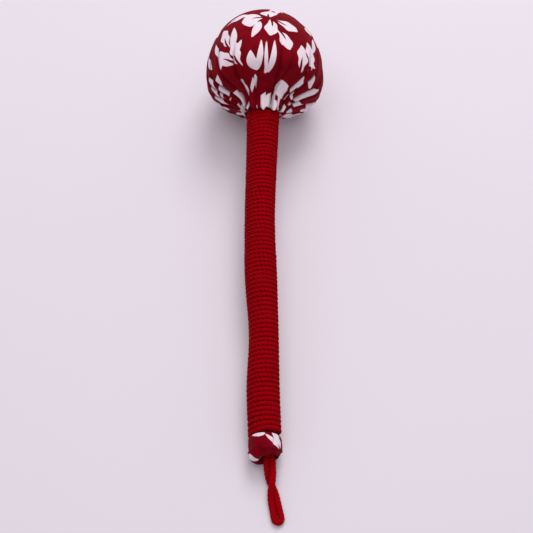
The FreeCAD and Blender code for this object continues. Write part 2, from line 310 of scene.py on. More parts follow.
def twisted_cord():
    """Cotton cord. 'fibre' is (mm along the cord, turns round its section, depth between strands)."""
    n = Nodes("twisted_cord")
    along, around, valley = n.parts(n.attribute("fibre", "Vector"))
    slant = n.math("MULTIPLY_ADD", around, 30.0, n.math("MULTIPLY", along, 1.35))
    fibre = n.math("SINE", n.math("MULTIPLY", slant, TURN))
    fluff = n.noise(1400, 4.0, 0.65)
    height = n.math("MULTIPLY_ADD", fibre, 0.35, n.math("MULTIPLY", fluff, 1.3))
    tone = n.math("ADD", n.spread(fibre, -1, 1, 0.0, 0.25), n.spread(fluff, 0.3, 0.7, 0.0, 0.75))
    color = n.mix(tone, CORD_DEEP, CORD_RED)
    patch = n.spread(n.noise(55, 3.0), 0.35, 0.65, 0.0, 0.35)
    color = n.mix(patch, color, CORD_PATCH)
    # painted shade: the cord is darkened in the valleys between its strands
    groove_shade = n.spread(valley, 0.55, 1.0, 0.0, 0.75)
    color = n.mix(groove_shade, color, CORD_GROOVE_SHADE)
    normal = n.bump(height, 0.55, 0.00016)
    roughness = n.spread(fluff, 0, 1, 0.65, 0.85)
    return n.finish(color, roughness, normal, sheen=0.15, sheen_roughness=0.5, specular=0.1)


def stuffing():
    n = Nodes("stuffing")
    clumps = n.noise(140, 5.0, 0.6)
    color = n.mix(clumps, (0.72, 0.66, 0.55, 1), (0.88, 0.85, 0.78, 1))
    return n.finish(color, 0.9, n.bump(clumps, 0.8, 0.001), sheen=0.3)


def plain_cotton():
    n = Nodes("plain_cotton")
    place = n.add("ShaderNodeTexCoord").outputs["Object"]
    x, y, _ = n.parts(place)
    pitch = TURN / (LINING_THREAD_MM * MM)
    weave = n.math("MULTIPLY", n.math("SINE", n.math("MULTIPLY", x, pitch)),
                   n.math("SINE", n.math("MULTIPLY", y, pitch)))
    color = n.mix(n.spread(weave, -1, 1, 0, 1), (0.74, 0.7, 0.62, 1), (0.88, 0.86, 0.8, 1))
    return n.finish(color, 0.85, n.bump(weave, 0.4, 0.0001), sheen=0.2)


def rattan():
    n = Nodes("rattan")
    place = n.add("ShaderNodeMapping")
    place.inputs["Scale"].default_value = (1.0, 0.04, 1.0)
    n.link(n.add("ShaderNodeTexCoord").outputs["Object"], place.inputs["Vector"])
    grain = n.noise(900, 4.0, 0.6, place.outputs[0])
    color = n.mix(n.spread(grain, 0.35, 0.65, 0, 1), (0.42, 0.27, 0.12, 1), (0.66, 0.48, 0.26, 1))
    return n.finish(color, n.spread(grain, 0, 1, 0.35, 0.55), n.bump(grain, 0.3, 0.0002))


def tight_thread():
    n = Nodes("tight_thread")
    place = n.add("ShaderNodeTexCoord").outputs["Object"]
    _, y, _ = n.parts(place)
    turns = n.math("SINE", n.math("MULTIPLY", y, TURN / (BINDING_THREAD_MM * MM)))
    color = n.mix(n.spread(turns, -1, 1, 0, 1), CORD_DEEP, CORD_RED)
    return n.finish(color, 0.6, n.bump(turns, 0.6, 0.0003), sheen=0.1)


COTTON = printed_cotton()
CORD = twisted_cord()
STUFFING = stuffing()
PLAIN_COTTON = plain_cotton()

for name, material in (("core_stick", rattan()), ("head_filling", STUFFING), ("filling_bag", PLAIN_COTTON),
                       ("neck_binding", tight_thread()), ("handle_wadding", STUFFING),
                       ("stub_filling", STUFFING)):
    nodes[name].data.materials.clear()
    nodes[name].data.materials.append(material)


# ------------------------------------------------------------------------------------ camera and stage
CAMERA_MM = (1.0, -495.14, 748.0)
CAMERA_ELEVATION = math.radians(57.47)
LENS_MM = 86.75
FLOOR_REACH_MM = 6000.0
FLOOR_GAP_MM = 0.02             # below the lowest cloth, so that the two don't coincide
WORLD_STRENGTH = 0.55
# Name, place and target in metres, size in metres, power in watts.
LIGHTS = [("window", (0.25, 0.95, 1.25), (0, 0.05, 0), 0.9, 11),
          ("ceiling", (-0.1, 0.0, 1.7), (0, 0, 0), 1.6, 8)]


def make_camera():
    camera = bpy.data.objects.new("camera", bpy.data.cameras.new("camera"))
    scene.collection.objects.link(camera)
    camera.location = Vector(CAMERA_MM) * MM
    camera.rotation_euler = (math.pi / 2 - CAMERA_ELEVATION, 0, 0)
    camera.data.lens = LENS_MM
    camera.data.clip_start = 0.01
    camera.data.clip_end = 50
    scene.camera = camera


def area_light(name, place, target, size, power):
    light = bpy.data.objects.new(name, bpy.data.lights.new(name, "AREA"))
    light.data.shape = "DISK"
    light.data.size = size
    light.data.energy = power
    light.location = place
    light.rotation_euler = (Vector(target) - Vector(place)).to_track_quat("-Z", "Y").to_euler()
    scene.collection.objects.link(light)


def make_stage():
    corners = [(-1, -1, 0), (1, -1, 0), (1, 1, 0), (-1, 1, 0)]
    floor = new_object("floor", FLOOR_REACH_MM * np.array(corners, float), [(0, 1, 2, 3)])
    floor.location.z = -FLOOR_GAP_MM * MM
    n = Nodes("pale_table")
    cloud = n.noise(1.6, 3.0)
    color = n.mix(n.spread(cloud, 0.3, 0.7, 0, 1), (0.725, 0.66, 0.72, 1), (0.75, 0.683, 0.742, 1))
    floor.data.materials.append(n.finish(color, 0.65, n.bump(n.noise(350, 2.0), 0.05, 0.0003), specular=0.3))
    world = bpy.data.worlds.new("studio")
    world.use_nodes = True
    world.node_tree.nodes["Background"].inputs["Color"].default_value = (0.96, 0.95, 1.0, 1)
    world.node_tree.nodes["Background"].inputs["Strength"].default_value = WORLD_STRENGTH
    scene.world = world
    for light in LIGHTS:
        area_light(*light)
    scene.view_settings.view_transform = "Standard"


make_camera()
make_stage()


# -------------------------------------------------------------------------------------- cord and loops
CORD_MM = 3.05
STRANDS = 3
SECTION_POINTS = 15
STRAND_DEPTH = 0.4              # of the cord's half thickness
# the cut ends' depth between strands, which sets their painted shade
CAP_VALLEY = 0.5                # how dark the cut ends are
LAY_MM = 8.1                    # length in which a strand goes once round the cord


def cord_mesh(name, line, out, thick, strand_depth=STRAND_DEPTH):
    """A twisted cord along a line of points. out is a direction across the cord at each point. thick
    is half the cord along out and half across it."""
    steps = np.linalg.norm(np.diff(line, axis=0), axis=1)
    length = np.concatenate([[0], np.cumsum(steps)])
    tangent = np.gradient(line, axis=0)
    tangent /= np.linalg.norm(tangent, axis=1, keepdims=True)
    out = out - (out * tangent).sum(1, keepdims=True) * tangent
    out /= np.linalg.norm(out, axis=1, keepdims=True)
    across = np.cross(tangent, out)
    around = np.arange(SECTION_POINTS) / SECTION_POINTS
    strand = np.abs(np.cos(math.pi * STRANDS * around))
    swell = 1 - strand_depth * (1 - strand) ** 1.3
    angle = TURN * (around[None, :] + length[:, None] / LAY_MM)
    section = (np.cos(angle)[..., None] * thick[0] * out[:, None, :]
               + np.sin(angle)[..., None] * thick[1] * across[:, None, :])
    rows = len(line)
    points = (line[:, None, :] + swell[None, :, None] * section).reshape(-1, 3)
    faces = grid_faces(rows, SECTION_POINTS)
    ends = np.array([line[0], line[-1]])
    ring = np.arange(SECTION_POINTS)
    first = np.stack([np.roll(ring, -1), ring, np.full(SECTION_POINTS, len(points))], axis=-1)
    last_ring = ring + (rows - 1) * SECTION_POINTS
    last = np.stack([last_ring, np.roll(last_ring, -1), np.full(SECTION_POINTS, len(points) + 1)], axis=-1)
    obj = new_object(name, np.concatenate([points, ends]), faces, np.concatenate([first, last]))
    corner = np.zeros((len(faces), 4, 3))
    i, j = np.divmod(np.arange(len(faces)), SECTION_POINTS)
    for k, (di, dj) in enumerate(((0, 0), (0, 1), (1, 1), (1, 0))):
        corner[:, k, 0] = length[i + di]
        corner[:, k, 1] = (j + dj) / SECTION_POINTS
        corner[:, k, 2] = 1 - strand[(j + dj) % SECTION_POINTS]
    caps = np.zeros((2 * SECTION_POINTS * 3, 3))
    caps[:, 2] = CAP_VALLEY
    corner_attribute(obj, "fibre", np.concatenate([corner.reshape(-1, 3), caps]))
    obj.data.materials.append(CORD)
    return obj


# The loop's route: across, out from the hinge, and height, in mm. The first and last two points go
# into the stub's mouth, to the knot.
LOOP_ROUTE = [
    (1.6, -4.2, 7.6),
    (0.7, -2.0, 6.9),
    (1.15, 0.0, 6.3),
    (1.4, 3.4, 5.2),
    (2.1, 7.0, 3.2),
    (3.2, 10.2, 1.95),
    (5.0, 13.2, 1.95),
    (6.5, 16.8, 1.95),
    (7.4, 20.6, 1.95),
    (8.3, 24.9, 1.95),
    (9.3, 29.4, 1.95),
    (10.5, 34.8, 1.95),
    (8.0, 36.5, 1.95),
    (5.8, 34.9, 1.95),
    (5.1, 29.4, 2.05),
    (4.2, 24.9, 2.2),
    (3.6, 20.6, 2.7),
    (3.6, 16.8, 4.6),
    (4.4, 12.8, 6.1),
    (5.0, 8.4, 6.5),
    (5.1, 4.0, 6.4),
    (4.8, 0.0, 6.3),
    (5.0, -2.0, 6.9),
    (4.2, -4.2, 7.6),
]
LOOP_CORD_MM = 3.7
LOOP_STRAND_DEPTH = 0.16
LOOP_STEP_MM = 0.55
LOOP_FLATNESS = 1.2             # the slack cord lies a little wider than it is tall
swing_joint = frame["joints"][0]
PIVOT = np.array(swing_joint["pos_m"]) / MM


def smooth_line(points_mm, step_mm):
    """Points read evenly off a NURBS spline with those control points."""
    curve = bpy.data.curves.new("route", "CURVE")
    curve.dimensions = "3D"
    curve.resolution_u = 24
    spline = curve.splines.new("NURBS")
    spline.points.add(len(points_mm) - 1)
    for point, place in zip(spline.points, points_mm):
        point.co = (*place, 1.0)
    spline.order_u = 3
    spline.use_endpoint_u = True
    holder = bpy.data.objects.new("route", curve)
    scene.collection.objects.link(holder)
    bpy.context.view_layer.update()
    mesh = bpy.data.meshes.new_from_object(holder)
    line = np.array([v.co for v in mesh.vertices])
    bpy.data.objects.remove(holder)
    bpy.data.curves.remove(curve)
    bpy.data.meshes.remove(mesh)
    length = np.concatenate([[0], np.cumsum(np.linalg.norm(np.diff(line, axis=0), axis=1))])
    even = np.linspace(0, length[-1], int(length[-1] / step_mm) + 1)
    return np.stack([np.interp(even, length, line[:, k]) for k in range(3)], axis=-1), length[-1]


def steady_across(line):
    """A direction across the line at each point that doesn't spin about it."""
    tangent = np.gradient(line, axis=0)
    tangent /= np.linalg.norm(tangent, axis=1, keepdims=True)
    out = np.zeros_like(line)
    last = np.array([0.0, 0.0, 1.0])
    for i, t in enumerate(tangent):
        last = last - (last @ t) * t
        last /= np.linalg.norm(last)
        out[i] = last
    return out


def make_loop():
    points = [(x, PIVOT[1] - away, z) for x, away, z in LOOP_ROUTE]
    line, length = smooth_line(points, LOOP_STEP_MM)
    obj = cord_mesh("hanging_loop_cord", line, steady_across(line),
                    (0.5 * LOOP_CORD_MM, 0.5 * LOOP_CORD_MM * LOOP_FLATNESS), LOOP_STRAND_DEPTH)
    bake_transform(obj)
    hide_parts("hanging_loop")
    return obj


make_loop()


KNOT_STEPS = 150
KNOT_THICKNESS = 0.42           # of the knot's half size
TREFOIL_REACH = 3.0             # of the plain trefoil's formula


def make_knot():
    """The knot on the loop's ends: cord in a closed three-lobed knot."""
    low, high = [np.array(corner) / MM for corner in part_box("loop_knot")]
    centre = (low + high) / 2
    size = (high - low).min() / 2
    t = np.linspace(0, TURN, KNOT_STEPS)
    trefoil = np.stack([np.sin(t) + 2 * np.sin(2 * t), -0.9 * np.sin(3 * t),
                        np.cos(t) - 2 * np.cos(2 * t)], axis=-1)
    thin = KNOT_THICKNESS * size
    line = centre + trefoil * (size - thin) / TREFOIL_REACH
    obj = cord_mesh("loop_knot_cord", line, steady_across(line), (thin, thin))
    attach(obj, "hammer")
    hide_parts("loop_knot")
    return obj


make_knot()


# ----------------------------------------------------------------------------------------- the winding
TURNS = 77
STEPS_PER_TURN = 72
FIRST_AROUND = 270              # degrees round the stick where the winding starts
DRIFT_MM = 0.16                 # unevenness from turn to turn: along the stick,
SWING_MM = 0.13                 # slanted,
PUFF_MM = 0.07                  # and outwards
END_SHORTER_MM = 2.0            # the last turn stands back from the stub on top,
END_DROOP_MM = 1.6              # and hangs towards it on its left
SLACK_TURN = 3.4                # the turn, near the ball, that has slipped
SLACK_TURNS = 1.3
SLACK_MM = 1.25
SLACK_LIFT_MM = 0.35
SLACK_AROUND = 172
LIFT_AROUND = 180
TUCK_TURNS = 0.12
TUCK_MM = 1.0


def make_winding(seed=11):
    """The cord wound round the handle as one right-handed helix, a little uneven from turn to turn."""
    random = np.random.default_rng(seed)
    turn = np.linspace(0, TURNS - 1, (TURNS - 1) * STEPS_PER_TURN + 1)
    knots = np.arange(TURNS + 2)
    drift = np.interp(turn, knots, random.normal(0, DRIFT_MM, TURNS + 2))
    swing = np.interp(turn, knots, random.normal(0, SWING_MM, TURNS + 2))
    puff = np.interp(turn, knots * 0.5, random.normal(0, PUFF_MM, TURNS + 2))
    start = WINDING_START + 0.5 * CORD_MM
    end = WINDING_END - 0.5 * CORD_MM - END_SHORTER_MM
    around = TURN * turn + math.radians(FIRST_AROUND)
    down = start + (end - start) * turn / (TURNS - 1)
    inside = np.minimum(1, np.minimum(turn, TURNS - 1 - turn))
    down = down + inside * (drift + swing * np.cos(around - 0.6))
    slack = np.exp(-((turn - SLACK_TURN) / SLACK_TURNS) ** 2)
    down = down + SLACK_MM * slack * np.cos(around - math.radians(SLACK_AROUND))
    near_end = np.exp(-((TURNS - 1 - turn) / 2.0) ** 2)
    down = down + END_DROOP_MM * near_end * np.clip(-np.cos(around), 0, 1)
    lift = SLACK_LIFT_MM * slack * np.clip(np.cos(around - math.radians(LIFT_AROUND)), 0, 1) + puff
    radius = winding_radius(down) - 0.5 * CORD_MM + lift
    tucked = 1 - ease(turn, 0, TUCK_TURNS) + ease(turn, TURNS - 1 - TUCK_TURNS, TURNS - 1)
    radius = radius - TUCK_MM * tucked
    out = np.stack([np.cos(around), np.zeros_like(around), np.sin(around)], axis=-1)
    line = out * radius[:, None]
    line[:, 0] += wander(down)
    line[:, 1] = -down
    pitch = (end - start) / (TURNS - 1)
    obj = cord_mesh("cord_winding_turns", to_row(line), out @ TO_ROW.T, (0.5 * CORD_MM, 0.57 * pitch))
    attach(obj, "hammer")
    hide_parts("cord_winding")
    return obj


make_winding()


# ------------------------------------------------------------------------------------------- the print
# A print is a list of leaves and petals. Each goes from a root to a tip, both given by the angle from the
# ball's front along the skin and the angle round the stick from +X towards +Z, in degrees.
def leaf(x, y, length, width, bend=0.0, blunt=0.8):
    """Distance to the edge of a pointed leaf from the origin up to (0, length), below zero inside."""
    t = np.clip(y / length, 0, 1)
    off = np.abs(x - bend * np.sin(math.pi * t)) - width / 2 * np.sin(math.pi * t ** blunt) ** 0.8
    beyond = np.maximum(np.maximum(-y, y - length), 0)
    return np.hypot(np.maximum(off, 0), beyond) + np.minimum(off, 0)


def petal(x, y, length, width, bend):
    """A broad petal with a wavy edge and a slit up from its root."""
    wave = 0.45 * np.sin(0.75 * y + bend)
    shape = leaf(x + wave, y, length, width, 0.5 * bend, 1.35)
    slit = leaf(x - bend * np.sin(0.2 * y), y + 1.0, 0.62 * length, 1.5, 0.3 * bend)
    return np.maximum(shape, -slit)


def fringe(x, y, length, width, bend):
    """A leaf cut into three points at its tip."""
    middle = leaf(x, y, length, 0.62 * width, bend)
    left = leaf(*turned(x + 0.1 * width, y - 0.18 * length, 21), 0.66 * length, 0.42 * width, 0.3)
    right = leaf(*turned(x - 0.1 * width, y - 0.1 * length, -24), 0.6 * length, 0.42 * width, -0.3)
    return np.minimum(middle, np.minimum(left, right))


def turned(x, y, degrees):
    c, s = math.cos(math.radians(degrees)), math.sin(math.radians(degrees))
    return c * x + s * y, -s * x + c * y


# Shape, root (front, around), tip (front, around), width in mm, bend in mm.
FIGURES = [
    (petal, (67, 86), (51, 84), 12, 0.8), (petal, (68, 92), (70, 115), 17, -1.0),
    (leaf, (74, 95), (94, 103), 6, 0.6), (petal, (70, 84), (93, 84.5), 9.5, 0.9),
    (petal, (70, 79), (81, 56), 9, -0.9), (petal, (85, 77), (106, 65), 9.0, 1.0),
    (leaf, (129, 101), (108, 104), 6.4, 0.8), (leaf, (129, 99.5), (97, 93.5), 3.8, -0.9),
    (leaf, (133, 88.5), (97, 88.5), 2.3, 0.5), (leaf, (133, 87.5), (97, 81), 3.4, -0.7),
    (leaf, (133, 104), (156, 112), 2.2, 0.2), (leaf, (134, 125), (140, 122), 3.4, 0.0),
    (leaf, (138, 122), (160, 128), 1.5, 0.6),
    (petal, (123, 114), (92, 123), 8.0, 0.7), (leaf, (110, 119), (94, 113), 4.2, 0.4),
    (leaf, (101, 123), (75, 123), 5.6, -0.8), (petal, (100, 126), (71, 138), 7.5, 0.8),
    (petal, (121, 121), (97, 144), 9.0, -0.7), (leaf, (107, 136), (119, 144), 4.8, 0.3),
    (leaf, (102, 140), (84, 147), 4.0, 0.6), (leaf, (110, 152), (90, 155), 2.4, 0.4),
    (leaf, (110, 160), (86, 163), 2.0, -0.4), (leaf, (104, 168), (82, 171), 2.2, 0.4),
    (petal, (136, 184), (113, 163), 7.4, 0.6),
    (leaf, (135, 170), (118, 148), 5.8, -0.6),
    (leaf, (142, 178), (133, 157), 4.4, 0.5), (leaf, (140, 198), (120, 186), 3.0, 0.5),
    (leaf, (141, 154), (161, 136), 7.6, 0.6), (leaf, (149, 190), (160, 152), 5.0, 0.5),
    (leaf, (152, 76), (161, 98), 4.2, 0.4), (leaf, (155, 60), (163, 74), 3.2, -0.4),
    (leaf, (153, 43), (137, 64), 8.6, 0.4), (leaf, (149, 25), (124, 38), 3.0, 0.9),
    (leaf, (129, 19), (108, 31), 4.2, 0.6), (petal, (124, 49), (96, 53), 7.4, 0.7),
    (petal, (120, 37), (89, 45), 8.4, -0.8), (leaf, (108, 45), (112, 33), 5.0, 0.3),
    (leaf, (149, 13), (119, 4), 5.6, 0.7), (leaf, (138, 4), (114, -7), 3.8, 0.6),
    (leaf, (152, -4), (134, -16), 3.4, 0.5), (leaf, (157, 30), (150, 4), 2.6, 0.5),
    (petal, (60, 30), (46, 44), 9, 0.8), (petal, (62, 27), (72, 41), 8, -0.8),
    (petal, (64, 22), (82, 24), 8, 0.8), (petal, (61, 20), (66, -4), 9, -0.7),
    (petal, (58, 24), (42, 8), 9, 0.8), (leaf, (78, 33), (98, 38), 4.4, 0.5),
    (petal, (64, 138), (57, 110), 7.5, 0.9), (leaf, (72, 150), (54, 158), 6.0, 0.5),
    (leaf, (148, 150), (159, 168), 2.8, 0.4), (leaf, (104, 12), (88, 4), 4.6, 0.6),
    (leaf, (146, -12), (122, -24), 5.0, 0.7), (leaf, (155, -20), (140, -44), 4.2, 0.5),
    (leaf, (131, 214), (112, 200), 4.6, 0.7), (leaf, (150, 222), (128, 232), 5.0, 0.7),
]
# The rest of the ball carries sprays of the same leaves, evenly spaced: shape, turn, length, width, bend.
SPRAYS = [
    [(petal, 72 * k, 15.5, 11.5, 0.9 - 0.35 * k) for k in range(5)],
    [(fringe, 8, 22, 11, 0.8), (leaf, -62, 14, 5.5, 0.7), (leaf, 74, 12, 5, -0.6), (leaf, 178, 11, 2, 0.4)],
    [(leaf, 16, 22, 5.6, 1.2), (leaf, -10, 25, 4.4, -1.0), (leaf, 196, 12, 1.8, 0.5),
     (leaf, 120, 12, 5, 0.6)],
    [(fringe, -14, 19, 10, -0.8), (fringe, 118, 17, 9, 0.6), (leaf, 230, 14, 4, 0.8)],
]
SPRAY_COUNT = 44
GOLDEN_ANGLE = 137.508
FIRST_SPRAY = 20                # degrees round the stick
SPRAY_TURN = 83                 # each spray is turned this much more than the one before
CLEAR_OF_FIGURES = math.radians(21)
FIGURE_REACH = math.radians(50)
NO_FIGURE_MM = 99.0


NECK_STRIPES = 21
TOP_OF_NECK = (78, 124)         # left plain, in degrees round the stick


def neck_stripes():
    """Slim leaves side by side that run into the neck."""
    stripes = []
    for k in range(NECK_STRIPES):
        around = 360 * k / NECK_STRIPES + 5 * math.sin(2.4 * k)
        if not TOP_OF_NECK[0] < around < TOP_OF_NECK[1]:
            root, tip = (147 + 4 * (k % 3), around), (171, around + 3)
            stripes.append((leaf, root, tip, 1.5 + 0.6 * (k % 2), 0.3))
    return stripes


def on_sphere(front, around):
    """Unit vectors in the stick's frame, angles in radians."""
    return np.stack([np.sin(front) * np.cos(around), np.cos(front), np.sin(front) * np.sin(around)], axis=-1)


def flattened(here, front, around):
    """Places near one point as (right, towards the front) in mm, keeping distances from that point."""
    centre = on_sphere(front, around)
    right = np.array([math.sin(around), 0.0, -math.cos(around)])
    ahead = np.cross(right, centre)
    angle = np.arccos(np.clip(here @ centre, -1, 1))
    stretch = BALL_RADIUS * angle / np.maximum(np.sin(angle), 1e-6)
    return (here @ right) * stretch, (here @ ahead) * stretch


def add_to_print(found, here, root, draw):
    """Lowers the distances near a root to those of one more figure."""
    near = here @ on_sphere(*root) > math.cos(FIGURE_REACH)
    found[near] = np.minimum(found[near], draw(*flattened(here[near], *root)))


def print_on_ball(front, around):
    """Distance in mm to the nearest figure's edge, for angles in radians."""
    here = on_sphere(front, around)
    found = np.full(front.shape, NO_FIGURE_MM)
    middles = []
    for shape, root, tip, width, bend in FIGURES + neck_stripes():
        root, tip = np.radians(root), np.radians(tip)
        right, ahead = flattened(on_sphere(*tip), *root)
        length = math.hypot(right, ahead)
        turn = math.degrees(math.atan2(-right, ahead))
        middle = on_sphere(*root) + on_sphere(*tip)
        middles.append(middle / np.linalg.norm(middle))
        add_to_print(found, here, root,
                     lambda x, y: shape(*turned(x, y, turn), length, width, bend))
    middles = np.array(middles)
    for k in range(SPRAY_COUNT):
        root = (math.acos(1 - 2 * (k + 0.5) / SPRAY_COUNT), math.radians(GOLDEN_ANGLE * k + FIRST_SPRAY))
        if (middles @ on_sphere(*root)).max() > math.cos(CLEAR_OF_FIGURES):
            continue
        for shape, turn, length, width, bend in SPRAYS[k % len(SPRAYS)]:
            whole_turn = turn + SPRAY_TURN * k
            add_to_print(found, here, root,
                         lambda x, y: shape(*turned(x, y, whole_turn), length, width, bend))
    return found


# -------------------------------------------------------------------------------------------- the ball
BALL_RADIUS = 41.5
WIDEST_PLACE = 4.5              # down the stick
FRONT_LENGTH = 43.3
BACK_LENGTH = 24.95
BACK_SQUARENESS = 4.45
CONE = [(27.0, 33.1), (30.5, 25.5), (34.5, 17.9), (38.0, 13.4), (40.3, 11.7), (41.0, 10.2), (44.0, 8.75)]
BALL_ROWS, BALL_COLUMNS = 176, 384
CORNER_SOFTNESS = 4             # in rows
OVERHANG_MM = 8.2               # how far the top puffs hang over the winding's first turns
PUFF_LENGTH_MM = 3.6
PUFF_SWELL_MM = 0.9
PUFF_WAVES = (9, 14, 23)        # how many times round the neck each unevenness repeats
PUFF_WAVE_SIZE = 0.09
SIDE_SHARE = 0.22               # the overhang at the sides and below, against the top
PUFF_ROW_MM = 22.6              # length along the skin, from the cone's start, of the overhanging puffs


PROFILE_STEPS = 400


def ball_profile(rows):
    """Radius, distance down the stick and length along the skin, evenly spaced from front to neck."""
    angle = np.linspace(0, math.pi / 2, PROFILE_STEPS)
    power = 2 / BACK_SQUARENESS
    back = math.pi / 2 - angle[::-1]
    down = np.concatenate([WIDEST_PLACE - FRONT_LENGTH * np.cos(angle),
                           WIDEST_PLACE + BACK_LENGTH * np.sin(back) ** power])
    radius = np.concatenate([BALL_RADIUS * np.sin(angle), BALL_RADIUS * np.cos(back) ** power])
    round_part = down < CONE[0][0]
    down = np.concatenate([down[round_part], [place[0] for place in CONE]])
    radius = np.concatenate([radius[round_part], [place[1] for place in CONE]])
    length = np.concatenate([[0], np.cumsum(np.hypot(np.diff(radius), np.diff(down)))])
    even = np.linspace(0, length[-1], rows)
    down, radius = np.interp(even, length, down), np.interp(even, length, radius)
    for _ in range(CORNER_SOFTNESS):
        for line in (down, radius):
            line[1:-1] = 0.25 * line[:-2] + 0.5 * line[1:-1] + 0.25 * line[2:]
    return radius, down, even


# Long folds: angle round at the neck and where it starts, how far from the front it starts, depth and
# the cloth that it swallows, in degrees and mm.
LONG_FOLDS = [
    (131, 121, 104, 0.75, 3.0), (72, 75, 104, 0.6, 2.4), (68, 61, 114, 0.5, 2.2), (112, 92, 128, 0.5, 2.0),
    (146, 142, 98, 0.7, 3.5), (160, 158, 88, 0.85, 4.5), (172, 169, 82, 0.9, 5.0), (184, 184, 84, 0.9, 4.5),
    (198, 202, 88, 0.9, 4.5), (40, 40, 104, 0.7, 3.5), (30, 26, 92, 0.8, 4.0), (14, 9, 90, 0.9, 4.5),
    (1, -6, 88, 0.9, 4.5), (-16, -22, 92, 0.8, 5.0), (-38, -40, 104, 0.8, 4.0), (-62, -66, 90, 0.8, 5.0),
    (-88, -86, 100, 0.7, 4.0), (-112, -116, 92, 0.9, 5.0), (-136, -140, 100, 0.8, 4.0),
]
FOLD_GROOVE_MM = 1.0
FOLD_STRENGTH = 2.0
FOLD_LEAD = 14                  # degrees that a fold shows before its listed start,
FOLD_GROWTH = 0.5               # and radians in which it grows to its full depth
FOLD_RIDGES = ((2.2, 1.7, 0.42), (-2.6, 2.4, 0.26))     # place across, width, height, for each side
GROOVE_SHARE = 0.9
SWALLOW_REACH_MM = 8.0          # how far from a fold the print is still pulled towards it
DEEPEST_MM = 0.42               # a deeper fold would reach the bag under the cloth
GATHER_COUNT = 30
GATHER_UNEVENNESS = 0.28        # of the space between two pleats
GATHER_STARTS = (124, 146)      # degrees from the front
GATHER_GROWTH = 0.45            # radians
GATHER_JUMP = 0.2               # radians of cloth that a pleat may hide
PUFF_HEIGHTS = (0.7, 1.15)
PUFF_TALL_MM = 1.15
PLEAT_DEEP_MM = 0.45
PLEAT_LEAN_MM = 0.25
NECK_FRONT = 2.9                # radians from the front, along the skin, where the cone ends


# Lumps of stuffing: radians of wave across the ball's radius, how many waves are added, and height in mm.
LUMPS = ((4.84, 10, 0.32), (9.9, 14, 0.14))
LOWEST_MM = 0.02                # the least height of the ball's cloth


def angle_gap(a, b):
    return (a - b + math.pi) % TURN - math.pi


def long_folds(front, around, radius):
    """Height in mm added by the long folds, the print's shift round the ball in radians, and how
    far each place is down a fold, from 0 to 1."""
    height = np.zeros_like(front)
    shift = np.zeros_like(front)
    crease = np.zeros_like(front)
    for at_neck, at_start, start, depth, swallowed in LONG_FOLDS:
        begin = math.radians(start - FOLD_LEAD)
        grown = ease(front, begin, begin + FOLD_GROWTH)
        line = np.radians(at_start + (at_neck - at_start) * ease(front, begin, NECK_FRONT))
        across = angle_gap(around, line) * radius
        deep = FOLD_STRENGTH * depth * grown
        groove = np.exp(-(across / FOLD_GROOVE_MM) ** 2)
        ridges = sum(tall * np.exp(-((across - place) / wide) ** 2) for place, wide, tall in FOLD_RIDGES)
        height += deep * (ridges - GROOVE_SHARE * groove)
        crease = np.maximum(crease, grown * depth * groove)
        pull = 0.5 * swallowed * grown * np.exp(-np.abs(across) / SWALLOW_REACH_MM)
        shift += np.sign(across) * pull / np.maximum(radius, 5.0)
    return height, shift, crease


def gathers(front, around, seed=7):
    """The many small pleats near the neck: height in mm and the print's shift in radians."""
    random = np.random.default_rng(seed)
    uneven = random.uniform(-GATHER_UNEVENNESS, GATHER_UNEVENNESS, GATHER_COUNT)
    edges = (np.arange(GATHER_COUNT) + uneven) * TURN / GATHER_COUNT
    starts = np.radians(random.uniform(*GATHER_STARTS, GATHER_COUNT))
    jumps = random.uniform(-GATHER_JUMP, GATHER_JUMP, GATHER_COUNT)
    puffs = random.uniform(*PUFF_HEIGHTS, GATHER_COUNT)
    around = around % TURN
    k = (np.searchsorted(edges, around, side="right") - 1) % GATHER_COUNT
    width = (np.roll(edges, -1) - edges) % TURN
    t = ((around - edges[k]) % TURN) / width[k]
    next_start = np.roll(starts, -1)[k]
    grown = ease(front, starts[k], starts[k] + GATHER_GROWTH)
    edge_grown = np.minimum(grown, ease(front, next_start, next_start + GATHER_GROWTH))
    puff = (1 - np.abs(2 * t - 1) ** 2.6) * puffs[k] * PUFF_TALL_MM - PLEAT_DEEP_MM
    lean = PLEAT_LEAN_MM * np.sin(math.pi * t) * np.cos(math.pi * t)
    return (puff + lean) * (0.4 * grown + 0.6 * edge_grown), jumps[k] * grown


def overhang(length, around, cone_start, seed=5):
    """How far the puffs round the neck sag over the winding: (down the stick, outwards) in mm."""
    random = np.random.default_rng(seed)
    top = SIDE_SHARE + (1 - SIDE_SHARE) * np.clip(np.sin(around), 0, 1) ** 0.8
    waves = [np.sin(k * around + random.uniform(0, TURN)) for k in PUFF_WAVES]
    uneven = 1 + sum(PUFF_WAVE_SIZE * wave for wave in waves)
    past = (length - cone_start - PUFF_ROW_MM) / PUFF_LENGTH_MM
    amount = np.exp(-past ** 2) * top * uneven
    return OVERHANG_MM * amount, PUFF_SWELL_MM * amount * top


def ball_noise(front, around, seed=3):
    """Gentle lumps of stuffing, in mm."""
    random = np.random.default_rng(seed)
    here = on_sphere(front, around)
    total = np.zeros_like(front)
    for pace, count, tall in LUMPS:
        for _ in range(count):
            way = random.normal(size=3)
            way /= np.linalg.norm(way)
            wave = np.sin(pace * (here @ way) + random.uniform(0, TURN))
            total += tall / math.sqrt(count) * wave
    return total


